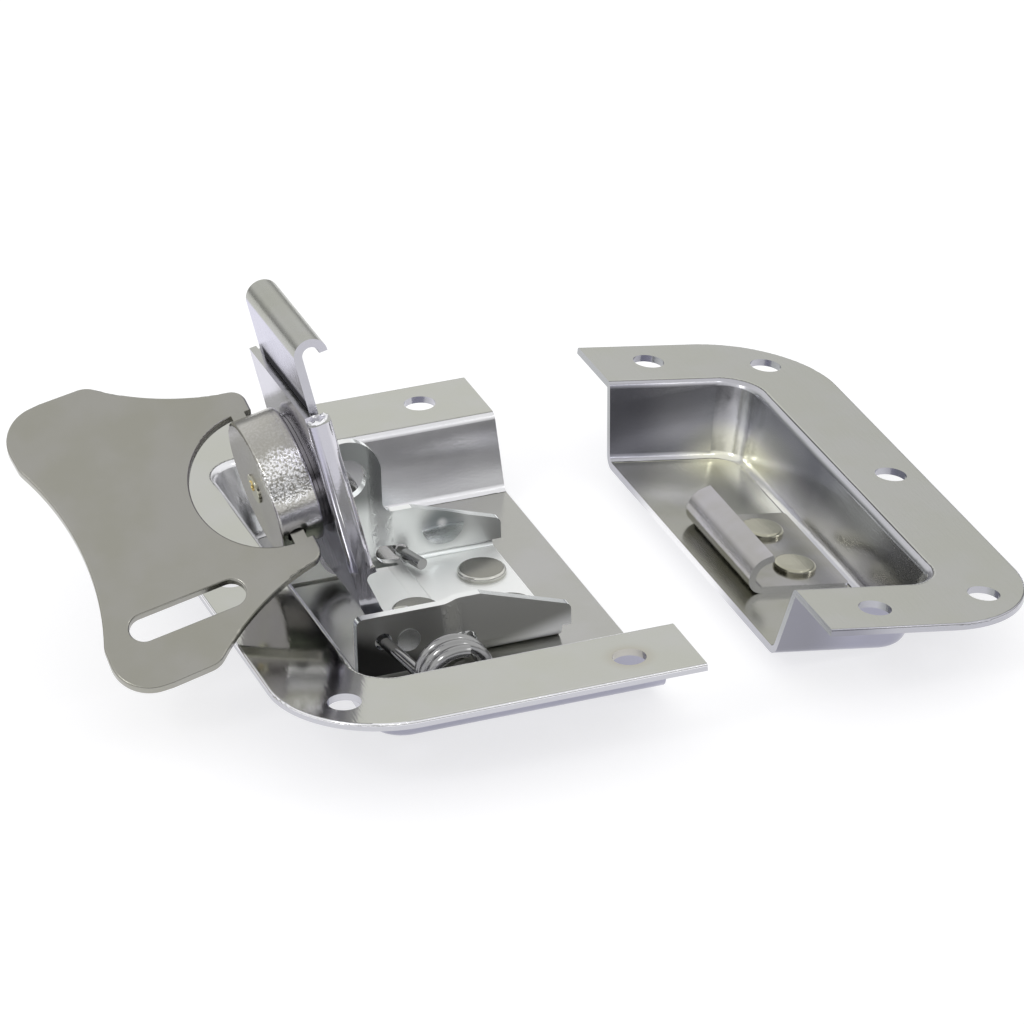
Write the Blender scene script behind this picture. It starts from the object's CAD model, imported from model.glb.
from math import cos, pi, radians, sin

import bpy
from mathutils import Matrix, Vector


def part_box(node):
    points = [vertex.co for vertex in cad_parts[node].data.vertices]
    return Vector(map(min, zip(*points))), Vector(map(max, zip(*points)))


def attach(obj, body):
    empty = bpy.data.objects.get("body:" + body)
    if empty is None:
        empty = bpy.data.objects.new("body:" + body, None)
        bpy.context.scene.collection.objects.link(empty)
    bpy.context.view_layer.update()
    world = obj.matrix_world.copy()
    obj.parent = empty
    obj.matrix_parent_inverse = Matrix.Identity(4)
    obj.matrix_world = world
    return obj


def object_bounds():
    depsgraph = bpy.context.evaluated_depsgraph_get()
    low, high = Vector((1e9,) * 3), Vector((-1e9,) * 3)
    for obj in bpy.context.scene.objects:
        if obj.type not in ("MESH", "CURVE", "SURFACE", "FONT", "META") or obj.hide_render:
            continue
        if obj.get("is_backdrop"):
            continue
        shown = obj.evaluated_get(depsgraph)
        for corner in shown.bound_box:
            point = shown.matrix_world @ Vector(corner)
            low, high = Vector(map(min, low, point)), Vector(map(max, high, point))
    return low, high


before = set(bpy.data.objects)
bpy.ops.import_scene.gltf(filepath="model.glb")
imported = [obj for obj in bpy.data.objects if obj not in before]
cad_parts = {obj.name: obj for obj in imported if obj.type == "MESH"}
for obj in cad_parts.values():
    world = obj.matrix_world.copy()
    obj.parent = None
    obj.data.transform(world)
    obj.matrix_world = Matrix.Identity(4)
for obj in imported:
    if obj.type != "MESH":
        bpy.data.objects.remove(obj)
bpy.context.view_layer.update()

bl_info = {
    "name": "Recessed butterfly latch",
    "version": (1, 0, 0),
    "blender": (4, 5, 0),
    "location": "View3D > Sidebar > Latch",
    "description": "Finishes, small worked details and studio for a zinc-plated butterfly latch",
    "category": "Object",
}

MM = 0.001
SHEET = 1.2 * MM                # thickness of the pressed dishes
LID_TILT = radians(8.8)         # the lid holds the strike half tilted
BUMP_DEPTH = 0.02 * MM

RIGHT = Vector((1, 0, 0))
LEFT = Vector((-1, 0, 0))
FORWARD = Vector((0, -1, 0))
UP = Vector((0, 0, 1))
DOWN = Vector((0, 0, -1))
LID_UP = Vector((sin(LID_TILT), 0, cos(LID_TILT)))      # square to the strike half's flange
SLIDE = Vector((-0.21644, 0, 0.97630))                  # up along the raised carrier
OUT = Vector((-0.97630, 0, -0.21644))                   # from the carrier towards the cam
OUT_TURN = radians(-102.5)                              # turn about Y from UP to OUT

# Places on the raised mechanism, in millimetres
PIVOT = Vector((-25.9, 0, -6.7))
CAM_AXIS = Vector((-31.44, 0, 18.29))
CAM_FACE = Vector((-44.62, 0, 15.37))
CAM_SPARKLE = Vector((-42.4, -9.7, 21.6))


class LatchFinishSettings(bpy.types.PropertyGroup):
    sheet_colour: bpy.props.FloatVectorProperty(
        name="Sheet colour", description="Plated flat sheet", subtype="COLOR", size=3,
        min=0, max=1, default=(0.50, 0.505, 0.455))
    handle_colour: bpy.props.FloatVectorProperty(
        name="Handle colour", description="Plated handle", subtype="COLOR", size=3,
        min=0, max=1, default=(0.365, 0.36, 0.315))
    bright_colour: bpy.props.FloatVectorProperty(
        name="Bright colour", description="Bent and mirror-bright parts", subtype="COLOR", size=3,
        min=0, max=1, default=(0.93, 0.95, 0.94))
    cam_colour: bpy.props.FloatVectorProperty(
        name="Cam colour", description="Thick round cam", subtype="COLOR", size=3,
        min=0, max=1, default=(0.46, 0.45, 0.42))
    rivet_colour: bpy.props.FloatVectorProperty(
        name="Rivet colour", description="Rivet heads and spindle", subtype="COLOR", size=3,
        min=0, max=1, default=(0.48, 0.47, 0.38))
    wire_colour: bpy.props.FloatVectorProperty(
        name="Wire colour", description="Spring wire", subtype="COLOR", size=3,
        min=0, max=1, default=(0.36, 0.36, 0.36))
    stain_colour: bpy.props.FloatVectorProperty(
        name="Stain colour", description="Faint stain in the plating", subtype="COLOR", size=3,
        min=0, max=1, default=(0.45, 0.43, 0.365))
    steel_colour: bpy.props.FloatVectorProperty(
        name="Steel colour", description="Sliding plates", subtype="COLOR", size=3,
        min=0, max=1, default=(0.42, 0.425, 0.38))
    lilac_colour: bpy.props.FloatVectorProperty(
        name="Lilac colour", description="Undersides and clouds in the plating",
        subtype="COLOR", size=3, min=0, max=1, default=(0.60, 0.585, 0.69))
    sheet_roughness: bpy.props.FloatProperty(
        name="Sheet roughness", description="Gloss of the flat sheet", min=0, max=1, default=0.09)
    bright_roughness: bpy.props.FloatProperty(
        name="Bright roughness", description="Gloss of the bright parts", min=0, max=1,
        default=0.11)


class LatchCameraSettings(bpy.types.PropertyGroup):
    place: bpy.props.FloatVectorProperty(
        name="Place", description="Camera place, from the frame's origin", subtype="TRANSLATION",
        unit="LENGTH", size=3, default=(-0.29936, -0.84035, 0.45460))
    azimuth: bpy.props.FloatProperty(
        name="Azimuth", description="Turn of the view to the left of the front",
        subtype="ANGLE", default=radians(-19.526))
    elevation: bpy.props.FloatProperty(
        name="Elevation", description="Height of the view above the horizon", subtype="ANGLE",
        default=radians(26.882))
    roll: bpy.props.FloatProperty(
        name="Roll", description="Turn about the view direction", subtype="ANGLE",
        default=radians(-1.528))
    lens: bpy.props.FloatProperty(
        name="Lens", description="Focal length on a 36 mm wide frame", subtype="DISTANCE_CAMERA",
        default=216.54)


class LatchStageSettings(bpy.types.PropertyGroup):
    floor_colour: bpy.props.FloatVectorProperty(
        name="Floor colour", description="Pale floor", subtype="COLOR", size=3,
        min=0, max=1, default=(0.44, 0.44, 0.45))
    floor_glow: bpy.props.FloatProperty(
        name="Floor glow", description="Light added where the camera or a mirror sees the floor",
        min=0, max=1, default=0.67)
    floor_radius: bpy.props.FloatProperty(
        name="Floor radius", description="Round floor that the camera sees", subtype="DISTANCE",
        unit="LENGTH", min=0, default=0.100)
    floor_fade: bpy.props.FloatProperty(
        name="Floor fade", description="Width of the round floor's soft edge",
        subtype="DISTANCE", unit="LENGTH", min=0, default=0.025)
    key_power: bpy.props.FloatProperty(
        name="Key lamp", description="Power of the lamp at the left", unit="POWER", min=0,
        default=2.6)
    fill_power: bpy.props.FloatProperty(
        name="Fill lamp", description="Power of the lamp at the right", unit="POWER", min=0,
        default=0.8)


# Node helpers

def feed(node, inputs):
    """Sets a node's inputs, by name or number, or links those that get a socket."""
    for key, value in inputs.items():
        if isinstance(value, bpy.types.NodeSocket):
            node.id_data.links.new(value, node.inputs[key])
        else:
            node.inputs[key].default_value = value


def add_node(tree, kind, inputs=None, **settings):
    node = tree.nodes.new(kind)
    for key, value in settings.items():
        setattr(node, key, value)
    feed(node, inputs or {})
    return node


def new_group(name, inputs, outputs):
    """Shader node group with named sockets."""
    tree = bpy.data.node_groups.new(name, "ShaderNodeTree")
    for label, kind, value in inputs:
        socket = tree.interface.new_socket(label, in_out="INPUT", socket_type=kind)
        if value is not None:
            socket.default_value = value
    for label, kind in outputs:
        tree.interface.new_socket(label, in_out="OUTPUT", socket_type=kind)
    return tree, add_node(tree, "NodeGroupInput").outputs, add_node(tree, "NodeGroupOutput")


def calc(tree, operation, *values):
    """Math node fed by sockets or numbers."""
    return add_node(tree, "ShaderNodeMath", dict(enumerate(values)),
                    operation=operation).outputs[0]


def vectors(tree, operation, a, b):
    """Vector math node. A dot product or a distance gives a number."""
    node = add_node(tree, "ShaderNodeVectorMath", {0: a, 1: b}, operation=operation)
    return node.outputs["Value" if operation in ("DOT_PRODUCT", "DISTANCE") else "Vector"]


def span(tree, value, low, high, to_low=0.0, to_high=1.0):
    """Smooth change of a value between two limits."""
    limits = {"Value": value, "From Min": low, "From Max": high, "To Min": to_low,
              "To Max": to_high}
    return add_node(tree, "ShaderNodeMapRange", limits,
                    interpolation_type="SMOOTHSTEP").outputs["Result"]


def window(tree, value, rise_from, rise_to, fall_from, fall_to):
    """1 between the rise and the fall, 0 outside them."""
    return calc(tree, "MULTIPLY", span(tree, value, rise_from, rise_to),
                span(tree, value, fall_from, fall_to, 1.0, 0.0))


def blend(tree, factor, a, b):
    """Colour mix fed by sockets or colours."""
    return add_node(tree, "ShaderNodeMix", {"Factor": factor, "A": a, "B": b},
                    data_type="RGBA").outputs["Result"]


def noise(tree, where, scale, detail=2.0, stretch=None):
    """Noise value, on stretched coordinates when asked."""
    if stretch:
        mapping = add_node(tree, "ShaderNodeMapping", {"Vector": where, "Scale": stretch})
        where = mapping.outputs["Vector"]
    return add_node(tree, "ShaderNodeTexNoise",
                    {"Vector": where, "Scale": scale, "Detail": detail}).outputs["Fac"]


def soft_ball(tree, where, place, radii):
    """1 in the middle of an oval ball, 0 at its radii. Place and radii are in millimetres."""
    centre = add_node(
        tree, "ShaderNodeMapping",
        {"Vector": where, "Location": [value * MM for value in place],
         "Scale": [value * MM for value in radii]}, vector_type="TEXTURE")
    return add_node(tree, "ShaderNodeTexGradient", {"Vector": centre.outputs["Vector"]},
                    gradient_type="SPHERICAL").outputs["Fac"]


def patch(tree, where, normal, place, side, limits):
    """1 on the faces that look to a side, between limits in millimetres from a place."""
    mask = span(tree, vectors(tree, "DOT_PRODUCT", normal, side), 0.5, 0.8)
    offset = vectors(tree, "SUBTRACT", where, [value * MM for value in place])
    for direction, edges in limits:
        along = vectors(tree, "DOT_PRODUCT", offset, direction)
        inside = window(tree, along, *(edge * MM for edge in edges))
        mask = calc(tree, "MULTIPLY", mask, inside)
    return mask


# Node groups

def facing_group():
    """Masks from the surface's own direction: flat and upward, steep wall, underside."""
    tree, given, out = new_group(
        "Facing",
        [("Normal", "NodeSocketVector", None), ("Upright", "NodeSocketVector", (0, 0, 1))],
        [("Flat", "NodeSocketFloat"), ("Wall", "NodeSocketFloat"), ("Under", "NodeSocketFloat")])
    up = vectors(tree, "DOT_PRODUCT", given["Normal"], given["Upright"])
    flat = span(tree, up, 0.93, 0.99)
    under = span(tree, up, 0.10, -0.10)
    wall = calc(tree, "SUBTRACT", 1.0, calc(tree, "MAXIMUM", flat, under))
    feed(out, {"Flat": flat, "Wall": wall, "Under": under})
    return tree


def plating_group():
    """Cloudy colour, uneven gloss, rolling grain and slow waves of zinc-plated sheet."""
    tree, given, out = new_group(
        "Zinc plating",
        [("Vector", "NodeSocketVector", None),
         ("Colour", "NodeSocketColor", (0.5, 0.5, 0.5, 1)),
         ("Tint", "NodeSocketColor", (0.5, 0.5, 0.5, 1)),
         ("Cloudiness", "NodeSocketFloat", 0.3),
         ("Roughness", "NodeSocketFloat", 0.25),
         ("Unevenness", "NodeSocketFloat", 0.06),
         ("Grain", "NodeSocketFloat", 0.5),
         ("Waves", "NodeSocketFloat", 0.0),
         ("Stretch", "NodeSocketVector", (0.3, 0.3, 1.0))],
        [("Colour", "NodeSocketColor"), ("Roughness", "NodeSocketFloat"),
         ("Height", "NodeSocketFloat")])
    where = given["Vector"]
    clouds = span(tree, noise(tree, where, 95.0, 4.0), 0.35, 0.68)
    amount = calc(tree, "MULTIPLY", clouds, given["Cloudiness"])
    patches = calc(tree, "SUBTRACT", noise(tree, where, 230.0, 3.0), 0.5)
    grain = noise(tree, where, 2600.0, 2.0, (1.0, 0.12, 1.0))
    fine = calc(tree, "MULTIPLY", grain, given["Grain"])
    slow = noise(tree, vectors(tree, "MULTIPLY", where, given["Stretch"]), 80.0, 1.0)
    feed(out, {
        "Colour": blend(tree, amount, given["Colour"], given["Tint"]),
        "Roughness": calc(tree, "MULTIPLY_ADD", patches, given["Unevenness"],
                          given["Roughness"]),
        "Height": calc(tree, "MULTIPLY_ADD", slow, given["Waves"], fine)})
    return tree


def speckle_group():
    """Pits and bright specks of the rough side of a cut bar."""
    tree, given, out = new_group(
        "Rough speckle",
        [("Vector", "NodeSocketVector", None), ("Scale", "NodeSocketFloat", 900.0),
         ("Amount", "NodeSocketFloat", 1.0)],
        [("Mask", "NodeSocketFloat"), ("Height", "NodeSocketFloat")])
    spread = {"Vector": given["Vector"], "Scale": given["Scale"]}
    cells = add_node(tree, "ShaderNodeTexVoronoi", spread)
    bumps = add_node(tree, "ShaderNodeTexNoise", {**spread, "Detail": 6.0, "Roughness": 0.7})
    ramp = add_node(tree, "ShaderNodeValToRGB", {"Fac": bumps.outputs["Fac"]})
    ramp.color_ramp.elements[0].position = 0.46
    ramp.color_ramp.elements[1].position = 0.62
    rough = calc(tree, "ADD", cells.outputs["Distance"], bumps.outputs["Fac"])
    feed(out, {"Mask": calc(tree, "MULTIPLY", ramp.outputs["Color"], given["Amount"]),
               "Height": calc(tree, "MULTIPLY", rough, given["Amount"])})
    return tree


def plated_material(name, colour, tint, roughness, cloudiness=0.3, unevenness=0.08, grain=0.4,
                    waves=0.0, stretch=(0.3, 0.3, 1.0), upright=UP, wall=None, floor=None,
                    under=None, spots=(), bands=(), gap=None, speckle=None, sheared=None):
    """Zinc plating. Places, radii and limits are in millimetres, heights in metres.
    wall: (colour, roughness, waves) of the steep faces.
    floor: (height, colour) of the level faces below a height, as rough as the wall.
    under: colour of the faces that look down.
    spots: (place, radii, colour) of soft oval spots.
    bands: (place, side the face looks to, ((direction, four limits), ...), colour).
    gap: a band that is left dull and dark.
    speckle: (scale, amount, colour, place, radius) of a rough patch with bright specks.
    sheared: (height in Y, depth) of the edge with shear lines."""
    material = bpy.data.materials.new(name)
    material.use_nodes = True
    tree = material.node_tree
    coordinates = add_node(tree, "ShaderNodeTexCoord").outputs
    where, normal = coordinates["Object"], coordinates["Normal"]
    plating = add_node(
        tree, "ShaderNodeGroup",
        {"Vector": where, "Tint": (*tint, 1), "Cloudiness": cloudiness, "Roughness": roughness,
         "Unevenness": unevenness, "Grain": grain, "Waves": waves, "Stretch": stretch},
        node_tree=groups["plating"])
    base = (*colour, 1)
    if wall or under:
        facing = add_node(tree, "ShaderNodeGroup", {"Normal": normal, "Upright": upright},
                          node_tree=groups["facing"]).outputs
    if wall:
        wall_colour, wall_roughness, wall_waves = wall
        steep = dull = facing["Wall"]
        base = blend(tree, steep, base, (*wall_colour, 1))
        if floor:
            low, floor_colour = floor
            depth = vectors(tree, "DOT_PRODUCT", where, upright)
            deep = calc(tree, "MULTIPLY", span(tree, depth, low + 1.5 * MM, low + 0.5 * MM),
                        facing["Flat"])
            base = blend(tree, deep, base, (*floor_colour, 1))
            dull = calc(tree, "MULTIPLY_ADD", steep, 2.0, deep)
        feed(plating, {"Roughness": span(tree, dull, 0, 1, roughness, wall_roughness),
                       "Waves": span(tree, steep, 0, 1, waves, wall_waves)})
    if under:
        base = blend(tree, facing["Under"], base, (*under, 1))
    feed(plating, {"Colour": base})

    result, gloss, height = (plating.outputs[key] for key in ("Colour", "Roughness", "Height"))
    metallic = 1.0
    for place, radii, spot_colour in spots:
        soft = span(tree, soft_ball(tree, where, place, radii), 0.0, 0.7)
        if under:
            above = span(tree, facing["Under"], 0.6, 0.9, 1.0, 0.0)
            soft = calc(tree, "MULTIPLY", soft, above)
        result = blend(tree, soft, result, (*spot_colour, 1))
    for place, side, limits, band_colour in bands:
        mask = patch(tree, where, normal, place, side, limits)
        result = blend(tree, mask, result, (*band_colour, 1))
    if gap:
        place, side, limits, gap_colour = gap
        mask = patch(tree, where, normal, place, side, limits)
        result = blend(tree, mask, result, (*gap_colour, 1))
        metallic = calc(tree, "SUBTRACT", 1.0, mask)
        gloss = calc(tree, "MAXIMUM", gloss, mask)
    if speckle:
        scale, amount, speck_colour, place, radius = speckle
        ball = soft_ball(tree, where, place, (radius, radius, radius))
        near = span(tree, ball, 0.0, 0.6, 0.04 * amount, amount)
        rough = add_node(tree, "ShaderNodeGroup",
                         {"Vector": where, "Scale": scale, "Amount": near},
                         node_tree=groups["speckle"]).outputs
        result = blend(tree, rough["Mask"], result, (*speck_colour, 1))
        height = calc(tree, "ADD", height, rough["Height"])
    if sheared:
        edge, depth = sheared
        back = add_node(tree, "ShaderNodeSeparateXYZ", {"Vector": where}).outputs["Y"]
        at_edge = span(tree, back, edge + depth, edge + 0.4 * depth)
        lines = noise(tree, where, 1500.0, 1.0, (1.0, 0.03, 0.03))
        height = calc(tree, "MULTIPLY_ADD", calc(tree, "MULTIPLY", lines, at_edge), 2.5, height)
    relief = add_node(tree, "ShaderNodeBump",
                      {"Strength": 1.0, "Distance": BUMP_DEPTH, "Height": height})
    feed(tree.nodes["Principled BSDF"],
         {"Base Color": result, "Metallic": metallic, "Roughness": gloss,
          "Normal": relief.outputs["Normal"]})
    return material


def paint(material, *nodes):
    """Gives CAD nodes their material."""
    for node in nodes:
        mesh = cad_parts[node].data
        mesh.materials.clear()
        mesh.materials.append(material)


def deselect():
    if bpy.context.object and bpy.context.object.mode != "OBJECT":
        bpy.ops.object.mode_set(mode="OBJECT")
    bpy.ops.object.select_all(action="DESELECT")


class LATCH_OT_finishes(bpy.types.Operator):
    """Zinc plating for each pressed, bent, turned and riveted part"""
    bl_idname = "latch.finishes"
    bl_label = "Finishes"

    def execute(self, context):
        look = context.scene.latch_finish
        self.dishes(look)
        self.handle_and_bracket(look)
        self.sliding_plates(look)
        self.cam(look)
        self.rivets_and_washers(look)
        self.keeper_and_springs(look)
        return {"FINISHED"}

    def dishes(self, look):
        below = (0.41, 0.41, 0.49)
        well = 0.2                      # roughness inside the dishes
        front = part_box("latch_dish")[0][1]
        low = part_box("latch_dish")[0][2] + SHEET
        paint(plated_material(
            "pressed latch dish", look.sheet_colour, look.lilac_colour, look.sheet_roughness,
            0.12, waves=3.0, wall=((0.88, 0.88, 0.90), well, 60.0),
            floor=(low, (0.44, 0.44, 0.41)), under=below, sheared=(front, 0.9 * MM),
            spots=[((0, -49.1, 0), (5, 5, 5), look.stain_colour)],
            bands=[((0, 0, 0), UP, ((LEFT, (30, 36, 90, 91)), (DOWN, (11, 11.5, 40, 41))),
                    (0.26, 0.26, 0.27))]), "latch_dish")
        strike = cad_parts["strike_dish"].data
        low = min(corner.co.dot(LID_UP) for corner in strike.vertices) + SHEET
        paint(plated_material(
            "pressed strike dish", look.sheet_colour, look.lilac_colour, look.sheet_roughness,
            0.12, waves=3.0, upright=LID_UP, wall=((0.52, 0.52, 0.55), well, 60.0),
            floor=(low, (0.38, 0.38, 0.325)), under=below,
            spots=[((52, 24, -13), (6, 24, 6), (0.84, 0.84, 0.78)),
                   ((50, 40, -13), (11, 9, 6), (0.90, 0.89, 0.75))],
            bands=[((50, 0, -7.5), LEFT, ((DOWN, (-40, -39, -1.5, 3)),), (0.38, 0.39, 0.40)),
                   ((50, 6, -9), LEFT,
                    ((DOWN, (-2, 3, 40, 41)), (FORWARD, (-22, -8, 14, 30))),
                    (0.92, 0.92, 0.93)),
                   ((40, 50, -6), FORWARD, ((LEFT, (-4, 6, 40, 41)),), (0.30, 0.30, 0.34))]),
            "strike_dish")

    def handle_and_bracket(self, look):
        paint(plated_material(
            "stamped handle", look.handle_colour, look.lilac_colour,
            look.sheet_roughness + 0.16, 0.10), "butterfly_handle")
        back_ear, front_ear = (0, 15, 0), (0, -17, 0)
        ear_front = (FORWARD, (-6, -5, 9, 10))
        paint(plated_material(
            "folded bracket", (0.98, 0.99, 0.98), look.bright_colour, 0.5, waves=6.0,
            wall=((0.95, 0.99, 0.99), 0.18, 36.0),
            spots=[((-7.9, 15.2, -5.6), (5.4, 5.4, 5.4), (0.36, 0.39, 0.40)),
                   ((-7.9, 15.2, -5.6), (1.4, 2, 1.4), (1.0, 1.0, 1.0))],
            bands=[(back_ear, FORWARD,
                    ((RIGHT, (-9, 3, 40, 41)), (DOWN, (-3, 1, 40, 41)),
                     (FORWARD, (-9, -8, 5, 6))), (0.40, 0.41, 0.41)),
                   (back_ear, FORWARD, ((UP, (-2.5, 1.5, 40, 41)),), (0.34, 0.35, 0.35)),
                   (front_ear, FORWARD, (ear_front,), (0.34, 0.34, 0.33)),
                   (front_ear, FORWARD, (ear_front, ((0.5, 0, 1.0), (-60, -59, -24, -20))),
                    (0.05, 0.05, 0.05)),
                   ((0, -17, -11.2), FORWARD,
                    (ear_front, ((0.24, 0, -0.97), (-3.6, -0.6, 40, 41)),
                     (RIGHT, (-24, -14, 40, 41))), (0.96, 0.97, 0.99))]), "base_bracket")

    def sliding_plates(self, look):
        along = (5.0, 5.0, 0.5)         # rolling waves run along the raised plates
        paint(plated_material(
            "rolled carrier", look.steel_colour, look.lilac_colour,
            look.bright_roughness + 0.05, 0.25, waves=1.5, stretch=along,
            wall=((0.70, 0.69, 0.74), look.bright_roughness, 40.0),
            under=(0.50, 0.49, 0.58)), "carrier")
        paint(plated_material(
            "hook plate", look.steel_colour, look.lilac_colour, 0.27, 0.2, waves=2.0,
            stretch=along, under=(0.60, 0.59, 0.72),
            gap=(PIVOT, OUT, ((SLIDE, (41.9, 42.1, 43.3, 44.6)), (FORWARD, (-11, -9.5, 40, 41))),
                 (0.02, 0.02, 0.025))), "hook_plate")

    def cam(self, look):
        paint(plated_material(
            "cut bar cam", look.cam_colour, (0.36, 0.35, 0.30), 0.20, 0.4, 0.2, 1.0,
            under=(0.345, 0.325, 0.355),
            bands=[(CAM_AXIS, FORWARD, ((SLIDE, (-4.0, -3.2, -0.6, 0.8)),),
                    (0.90, 0.89, 0.95)),
                   (CAM_AXIS, FORWARD, ((SLIDE, (-40, -39, -4.4, -3.6)),),
                    (0.20, 0.22, 0.17))],
            speckle=(2400.0, 3.0, (0.97, 0.97, 0.98), CAM_SPARKLE, 5.6)), "eccentric_cam")

    def rivets_and_washers(self, look):
        paint(plated_material(
            "turned rivet", look.rivet_colour, (0.34, 0.33, 0.26), 0.16, 0.5, waves=30.0),
            "crank_spindle", "keeper_rivets")
        paint(plated_material(
            "dull rivet", (0.20, 0.20, 0.19), look.rivet_colour, 0.2, waves=20.0,
            wall=((0.75, 0.75, 0.72), 0.2, 5.0)), "bracket_rivets")
        paint(plated_material(
            "pivot rivet", look.bright_colour, look.lilac_colour, 0.2, 0.5), "pivot_rivets")
        paint(plated_material(
            "washer", (0.26, 0.25, 0.26), look.steel_colour, 0.22),
            "cam_washer", "crank_washer")

    def keeper_and_springs(self, look):
        paint(plated_material(
            "folded keeper", (0.33, 0.325, 0.285), look.lilac_colour, 0.20, waves=6.0,
            upright=LID_UP, wall=((0.42, 0.41, 0.40), 0.2, 12.0),
            bands=[((0, 0, 0), FORWARD, (), (0.95, 0.95, 0.97))]), "keeper")
        paint(plated_material(
            "spring wire", look.wire_colour, (0.3, 0.3, 0.3), 0.12, 0.4),
            "torsion_spring_back", "torsion_spring_front")


class LATCH_OT_burrs(bpy.types.Operator):
    """Burrs of the riveting and of the sheared roll, too small for the CAD"""
    bl_idname = "latch.burrs"
    bl_label = "Burrs"

    def execute(self, context):
        gold = plated_material("yellow burr", (0.86, 0.66, 0.26), (0.9, 0.85, 0.7), 0.22)
        pit = plated_material("burr pit", (0.05, 0.045, 0.04), (0.1, 0.09, 0.08), 0.5)
        white = plated_material("sheared burr", (0.92, 0.92, 0.94), (0.5, 0.5, 0.55), 0.25)
        roll_end = PIVOT + SLIDE * 40.6 + OUT * 3.4 + FORWARD * 13.85
        self.crown("cam_burr", CAM_FACE + SLIDE * 0.7, OUT_TURN, (1.0, 0.8), 0.30, 11, 4,
                   gold, "cam")
        self.crown("cam_pit", CAM_FACE - SLIDE * 1.3 - OUT * 0.02, OUT_TURN, (0.65, 0.5), 0.12,
                   9, 7, pit, "cam")
        self.crown("roll_burr", roll_end, OUT_TURN + pi / 2, (1.75, 1.25), 0.45, 14, 2, white,
                   "carrier")
        return {"FINISHED"}

    def crown(self, name, place, turn, radii, height, corners, seed, material, body):
        """Ragged ring round a shallow pit, standing on a face. Sizes are in millimetres."""
        height *= MM
        deselect()
        bpy.ops.mesh.primitive_circle_add(vertices=corners, radius=1 * MM, fill_type="NGON")
        piece = bpy.context.object
        piece.name = name
        piece.data.name = name
        bpy.ops.object.mode_set(mode="EDIT")
        bpy.ops.mesh.select_all(action="SELECT")
        bpy.ops.transform.resize(value=(*radii, 1))
        bpy.ops.mesh.extrude_region_move(TRANSFORM_OT_translate={"value": (0, 0, height)})
        bpy.ops.mesh.inset(thickness=0.28 * radii[1] * MM)
        bpy.ops.mesh.extrude_region_move(
            TRANSFORM_OT_translate={"value": (0, 0, -0.6 * height)})
        # Every second corner of the ring is raised, then all are shaken.
        bpy.ops.object.mode_set(mode="OBJECT")
        for corner in piece.data.vertices:
            corner.select = corner.co.z > 0.9 * height and corner.index % 2 == 0
        bpy.ops.object.mode_set(mode="EDIT")
        bpy.ops.transform.translate(value=(0, 0, 0.7 * height))
        bpy.ops.mesh.select_all(action="SELECT")
        bpy.ops.transform.vertex_random(offset=0.16 * height, seed=seed)
        bpy.ops.mesh.normals_make_consistent(inside=False)
        bpy.ops.object.mode_set(mode="OBJECT")
        piece.location = place * MM
        piece.rotation_euler = (0, turn, 0)
        bpy.ops.object.transform_apply(location=True, rotation=True, scale=True)
        piece.data.materials.append(material)
        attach(piece, body)


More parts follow.
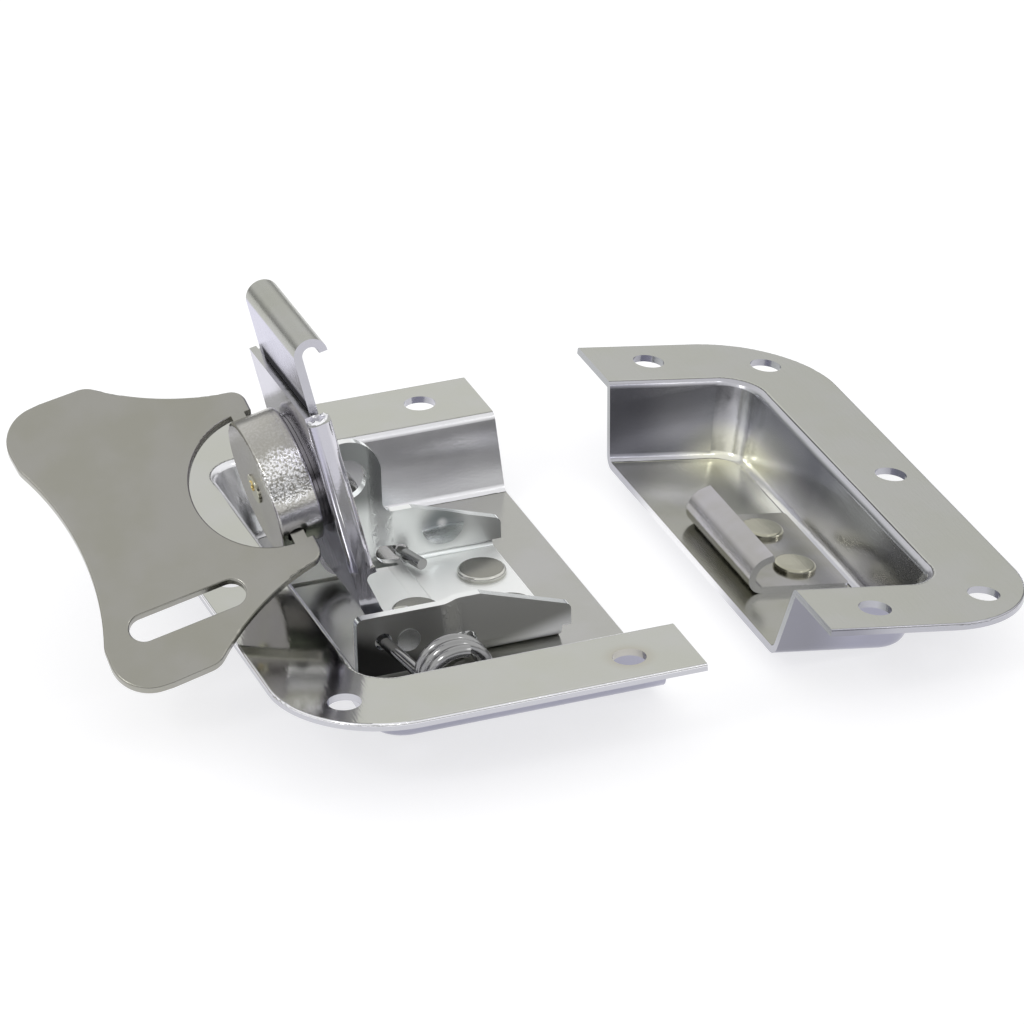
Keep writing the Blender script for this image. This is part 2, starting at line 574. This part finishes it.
class LATCH_OT_stage(bpy.types.Operator):
    """White floor, soft lamps, dim front and the photograph's camera"""
    bl_idname = "latch.stage"
    bl_label = "Stage"

    def execute(self, context):
        stage = context.scene.latch_stage
        self.floor(stage)
        self.room()
        self.lamp("key_lamp", (-1.1, -0.6, 1.2), 0.35, stage.key_power)
        self.lamp("fill_lamp", (0.9, -0.9, 1.5), 0.30, stage.fill_power)
        self.camera(context)
        return {"FINISHED"}

    def floor(self, stage):
        deselect()
        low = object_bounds()[0][2]
        bpy.ops.mesh.primitive_plane_add(size=6.0, location=(0, 0, low - 0.02 * MM))
        floor = bpy.context.object
        floor.name = "studio_floor"
        material = bpy.data.materials.new("studio floor")
        material.use_nodes = True
        tree = material.node_tree
        rays = add_node(tree, "ShaderNodeLightPath").outputs
        seen = calc(tree, "ADD", rays["Is Camera Ray"], rays["Is Glossy Ray"])
        seen = calc(tree, "ADD", seen, rays["Is Transmission Ray"])
        shader = tree.nodes["Principled BSDF"]
        feed(shader, {
            "Base Color": (*stage.floor_colour, 1), "Roughness": 0.9, "Specular IOR Level": 0.1,
            "Emission Color": (1, 1, 1, 1),
            "Emission Strength": calc(tree, "MULTIPLY", seen, stage.floor_glow)})
        # The opened lid hangs below the floor: the camera sees it past the floor's round edge,
        # and light from above reaches it through the floor's back.
        where = add_node(tree, "ShaderNodeTexCoord").outputs["Object"]
        reach = vectors(tree, "DISTANCE", where, (12 * MM, 0, 0))
        past = span(tree, reach, stage.floor_radius, stage.floor_radius + stage.floor_fade)
        past = calc(tree, "MULTIPLY", past, rays["Is Camera Ray"])
        back = add_node(tree, "ShaderNodeNewGeometry").outputs["Backfacing"]
        clear = add_node(tree, "ShaderNodeBsdfTransparent")
        both = add_node(tree, "ShaderNodeMixShader", {
            0: calc(tree, "MAXIMUM", past, back), 1: shader.outputs["BSDF"],
            2: clear.outputs["BSDF"]})
        feed(tree.nodes["Material Output"], {"Surface": both.outputs["Shader"]})
        floor.data.materials.append(material)
        floor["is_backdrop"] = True

    def room(self):
        """Bright room above and behind, dim in front, as in the photograph's reflections."""
        world = bpy.data.worlds.new("studio")
        bpy.context.scene.world = world
        world.use_nodes = True
        tree = world.node_tree
        where = add_node(tree, "ShaderNodeTexCoord").outputs["Generated"]
        split = add_node(tree, "ShaderNodeSeparateXYZ", {"Vector": where})
        away, up = (split.outputs[axis] for axis in "YZ")
        lift = calc(tree, "MULTIPLY_ADD", up, 1.5, away)
        open_sky = span(tree, lift, -0.95, 0.45, 0.30, 0.95)
        walls = span(tree, up, 0.10, 0.36, 0.32, 1.0)
        ceiling = span(tree, up, 0.72, 0.95, 1.0, 0.90)
        level = calc(tree, "MULTIPLY", open_sky, calc(tree, "MULTIPLY", walls, ceiling))
        # Large soft shapes low in the room, fading towards its ceiling
        shapes = span(tree, noise(tree, where, 2.6, 1.0), 0.35, 0.65, 0.55, 1.3)
        low = span(tree, up, 0.15, 0.5, 1.0, 0.0)
        shapes = calc(tree, "MULTIPLY_ADD", calc(tree, "SUBTRACT", shapes, 1.0), low, 1.0)
        level = calc(tree, "MULTIPLY", level, shapes)
        # The camera itself sees plain white.
        seen = add_node(tree, "ShaderNodeLightPath").outputs["Is Camera Ray"]
        level = calc(tree, "MAXIMUM", level, seen)
        feed(tree.nodes["Background"], {
            "Color": blend(tree, level, (0, 0, 0, 1), (1, 1, 1, 1)),
            "Strength": calc(tree, "MULTIPLY_ADD", seen, 0.1, 1.0)})

    def lamp(self, name, place, size, power):
        """Square lamp that looks at the latch."""
        data = bpy.data.lights.new(name, "AREA")
        data.size = size
        data.energy = power
        lamp = bpy.data.objects.new(name, data)
        bpy.context.scene.collection.objects.link(lamp)
        lamp.location = place
        lamp.rotation_euler = (-Vector(place)).to_track_quat("-Z", "Y").to_euler()

    def camera(self, context):
        view = context.scene.latch_camera
        data = bpy.data.cameras.new("photo_camera")
        data.sensor_width = 36.0
        data.lens = view.lens
        data.clip_start = 0.05
        camera = bpy.data.objects.new("photo_camera", data)
        context.scene.collection.objects.link(camera)
        turn = (Matrix.Rotation(view.azimuth, 4, "Z")
                @ Matrix.Rotation(pi / 2 - view.elevation, 4, "X")
                @ Matrix.Rotation(view.roll, 4, "Z"))
        camera.matrix_world = Matrix.Translation(Vector(view.place)) @ turn
        context.scene.camera = camera
        context.scene.view_settings.view_transform = "Standard"


class LATCH_PT_panel(bpy.types.Panel):
    """Lists the latch's settings and steps in the sidebar"""
    bl_idname = "LATCH_PT_panel"
    bl_label = "Recessed butterfly latch"
    bl_space_type = "VIEW_3D"
    bl_region_type = "UI"
    bl_category = "Latch"

    def draw(self, context):
        for look in (context.scene.latch_finish, context.scene.latch_stage):
            for name in look.bl_rna.properties.keys():
                if name not in ("rna_type", "name"):
                    self.layout.prop(look, name)
        for step in steps:
            self.layout.operator(step.bl_idname)


groups = {}
steps = (LATCH_OT_finishes, LATCH_OT_burrs, LATCH_OT_stage)
property_groups = {"latch_finish": LatchFinishSettings, "latch_camera": LatchCameraSettings,
                   "latch_stage": LatchStageSettings}
classes = (*property_groups.values(), *steps, LATCH_PT_panel)


def register():
    for item in classes:
        bpy.utils.register_class(item)
    for name, group in property_groups.items():
        setattr(bpy.types.Scene, name, bpy.props.PointerProperty(type=group))


def unregister():
    for name in property_groups:
        delattr(bpy.types.Scene, name)
    for item in reversed(classes):
        bpy.utils.unregister_class(item)


def main():
    register()
    groups["facing"] = facing_group()
    groups["plating"] = plating_group()
    groups["speckle"] = speckle_group()
    bpy.ops.latch.finishes()
    bpy.ops.latch.burrs()
    bpy.ops.latch.stage()


if __name__ == "__main__":
    main()
